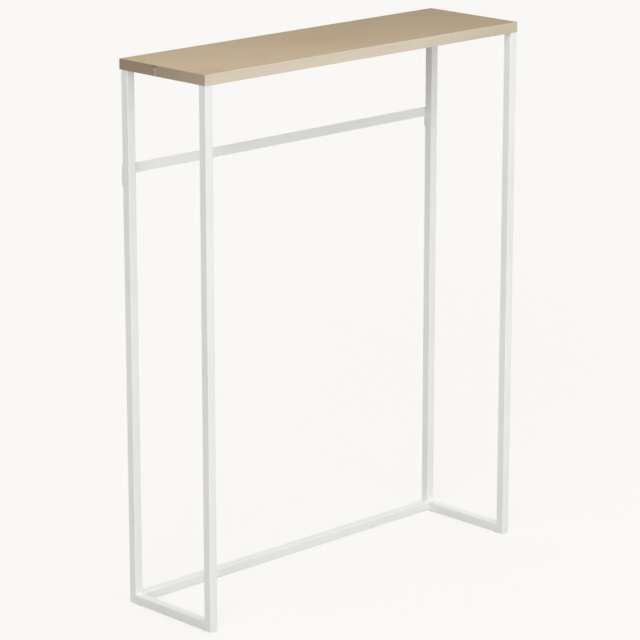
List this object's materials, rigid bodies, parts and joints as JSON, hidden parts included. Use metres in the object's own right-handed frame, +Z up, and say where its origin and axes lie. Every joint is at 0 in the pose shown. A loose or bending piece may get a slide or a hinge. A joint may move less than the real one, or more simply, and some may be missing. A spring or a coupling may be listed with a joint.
{
  "type": "wall table",
  "caption": "Tall slim wall table: veneered wooden top on a welded square-tube steel frame with floor runners, a rear floor rail, and a wall rail with keyhole lugs.",
  "frame": {"origin": "on the floor, under the middle of the top", "axes": "+X along the table to the right as seen from the front, +Y towards the wall, +Z up"},
  "size_m": [0.7, 0.2, 0.9],
  "materials": {
    "white_coated_steel": "fine satin powder coat",
    "face_veneer": "matt lacquered straight-grained veneer",
    "backing_veneer": "matt veneer",
    "edge_band_wood": "matt lacquered veneer band",
    "core_board": "raw fibre board",
    "glide_plastic": "matt nylon",
    "plated_steel": "zinc plated"
  },
  "bodies": {
    "root": {"left_front_leg": "white_coated_steel", "left_rear_leg": "white_coated_steel", "right_front_leg": "white_coated_steel", "right_rear_leg": "white_coated_steel", "left_floor_runner": "white_coated_steel", "right_floor_runner": "white_coated_steel", "rear_floor_rail": "white_coated_steel", "wall_rail": "white_coated_steel", "left_wall_lug": "white_coated_steel", "right_wall_lug": "white_coated_steel", "left_front_top_plate": "white_coated_steel", "left_rear_top_plate": "white_coated_steel", "right_front_top_plate": "white_coated_steel", "right_rear_top_plate": "white_coated_steel", "left_front_glide": "glide_plastic", "left_rear_glide": "glide_plastic", "right_front_glide": "glide_plastic", "right_rear_glide": "glide_plastic", "front_edge_band": "edge_band_wood", "rear_edge_band": "edge_band_wood", "right_edge_band": "edge_band_wood", "left_edge_band_front": "edge_band_wood", "left_edge_band_rear": "edge_band_wood", "top_screws": "plated_steel", "top_core": "core_board", "top_veneer": "face_veneer", "top_backing": "backing_veneer"}
  },
  "joints": []
}
